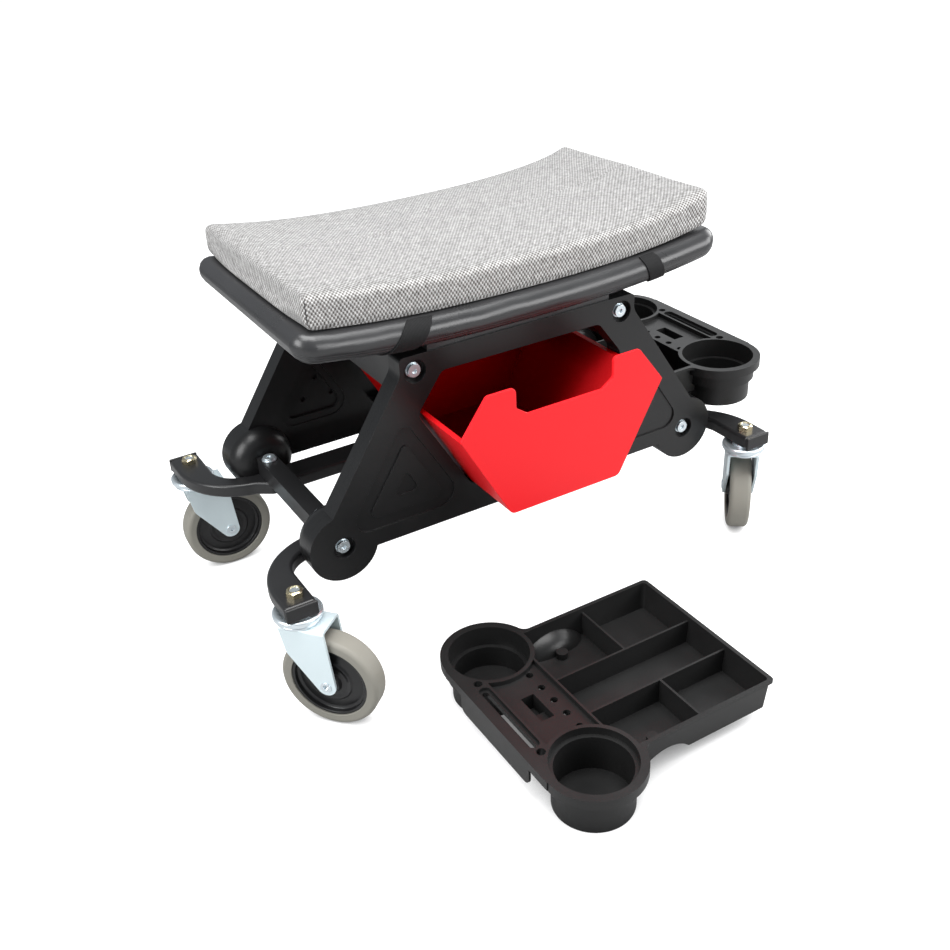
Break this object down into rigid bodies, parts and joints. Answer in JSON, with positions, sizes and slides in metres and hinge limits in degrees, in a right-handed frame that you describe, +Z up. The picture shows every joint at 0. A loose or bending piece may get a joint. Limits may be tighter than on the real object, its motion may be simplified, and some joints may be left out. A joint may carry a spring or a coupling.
{
  "type": "creeper seat",
  "caption": "Low rolling work seat: padded upturned board on moulded side panels, swivel casters, sliding tool bin and lift-out end trays.",
  "frame": {"origin": "on the floor, below the middle of the symmetric frame (panels, rails and stems)", "axes": "+X along the seat towards the end that holds the fitted tray, +Z up, the open bin is on the -Y side"},
  "size_m": [0.649, 0.6368, 0.4055],
  "materials": {
    "cover_fabric": "woven",
    "strap_elastic": "ribbed elastic",
    "board_plastic": "satin, fine texture",
    "panel_plastic": "satin, fine texture",
    "tray_plastic": "satin",
    "cap_plastic": "matt",
    "red_plastic": "semi-gloss",
    "black_paint": "gloss",
    "bright_zinc": "bright zinc plate",
    "yellow_zinc": "yellow zinc plate",
    "tyre_grey": "matt",
    "wheel_plastic": "semi-gloss"
  },
  "bodies": {
    "frame": {"seat_cushion": "cover_fabric", "strap_left": "strap_elastic", "strap_right": "strap_elastic", "seat_board": "board_plastic", "panel_front_outer": "panel_plastic", "panel_front_inner": "panel_plastic", "panel_rear_outer": "panel_plastic", "panel_rear_inner": "panel_plastic", "frame_bolts": "bright_zinc", "frame_washers": "bright_zinc", "top_bar_left": "black_paint", "top_bar_right": "black_paint", "low_bar_left": "black_paint", "low_bar_right": "black_paint", "seat_screws": "bright_zinc", "rail_screws": "bright_zinc", "rail_front": "black_paint", "rail_rear": "black_paint", "rail_caps": "cap_plastic", "caster_nuts": "yellow_zinc", "stem_fl": "bright_zinc", "stem_fr": "bright_zinc", "stem_rl": "bright_zinc", "stem_rr": "bright_zinc"},
    "bin": {"tool_bin": "red_plastic"},
    "tray_in_frame": {"end_tray": "tray_plastic"},
    "tray_loose": {"spare_tray": "tray_plastic"},
    "swivel_fl": {"bearing_fl": "bright_zinc", "fork_fl": "bright_zinc", "axle_fl": "bright_zinc"},
    "roller_fl": {"wheel_fl": "wheel_plastic", "tyre_fl": "tyre_grey"},
    "swivel_fr": {"bearing_fr": "bright_zinc", "fork_fr": "bright_zinc", "axle_fr": "bright_zinc"},
    "roller_fr": {"wheel_fr": "wheel_plastic", "tyre_fr": "tyre_grey"},
    "swivel_rl": {"bearing_rl": "bright_zinc", "fork_rl": "bright_zinc", "axle_rl": "bright_zinc"},
    "roller_rl": {"wheel_rl": "wheel_plastic", "tyre_rl": "tyre_grey"},
    "swivel_rr": {"bearing_rr": "bright_zinc", "fork_rr": "bright_zinc", "axle_rr": "bright_zinc"},
    "roller_rr": {"wheel_rr": "wheel_plastic", "tyre_rr": "tyre_grey"}
  },
  "joints": [
    {"name": "bin_slide", "type": "slide", "parent": "frame", "child": "bin", "axis": [0, -1, 0], "range_m": [-0.072, 0.1]},
    {"name": "tray_lift_out", "type": "slide", "parent": "frame", "child": "tray_in_frame", "axis": [0.5736, 0, 0.8192], "range_m": [0, 0.06]},
    {"name": "loose_tray_lift", "type": "slide", "parent": "frame", "child": "tray_loose", "axis": [0, 0, 1], "range_m": [0, 0.06]},
    {"name": "swivel_turn_fl", "type": "hinge", "parent": "frame", "child": "swivel_fl", "pos_m": [-0.275, -0.1505, 0.106], "axis": [0, 0, 1], "continuous": true},
    {"name": "wheel_spin_fl", "type": "hinge", "parent": "swivel_fl", "child": "roller_fl", "pos_m": [-0.25657, -0.17224, 0.05], "axis": [0.7627, 0.6468, 0], "continuous": true},
    {"name": "swivel_turn_fr", "type": "hinge", "parent": "frame", "child": "swivel_fr", "pos_m": [0.275, -0.1505, 0.106], "axis": [0, 0, 1], "continuous": true},
    {"name": "wheel_spin_fr", "type": "hinge", "parent": "swivel_fr", "child": "roller_fr", "pos_m": [0.29301, -0.12841, 0.05], "axis": [-0.7749, 0.632, 0], "continuous": true},
    {"name": "swivel_turn_rl", "type": "hinge", "parent": "frame", "child": "swivel_rl", "pos_m": [-0.275, 0.1505, 0.106], "axis": [0, 0, 1], "continuous": true},
    {"name": "wheel_spin_rl", "type": "hinge", "parent": "swivel_rl", "child": "roller_rl", "pos_m": [-0.24653, 0.14911, 0.05], "axis": [0.0489, 0.9988, 0], "continuous": true},
    {"name": "swivel_turn_rr", "type": "hinge", "parent": "frame", "child": "swivel_rr", "pos_m": [0.275, 0.1505, 0.106], "axis": [0, 0, 1], "continuous": true},
    {"name": "wheel_spin_rr", "type": "hinge", "parent": "swivel_rr", "child": "roller_rr", "pos_m": [0.30104, 0.16209, 0.05], "axis": [-0.4067, 0.9135, 0], "continuous": true}
  ]
}
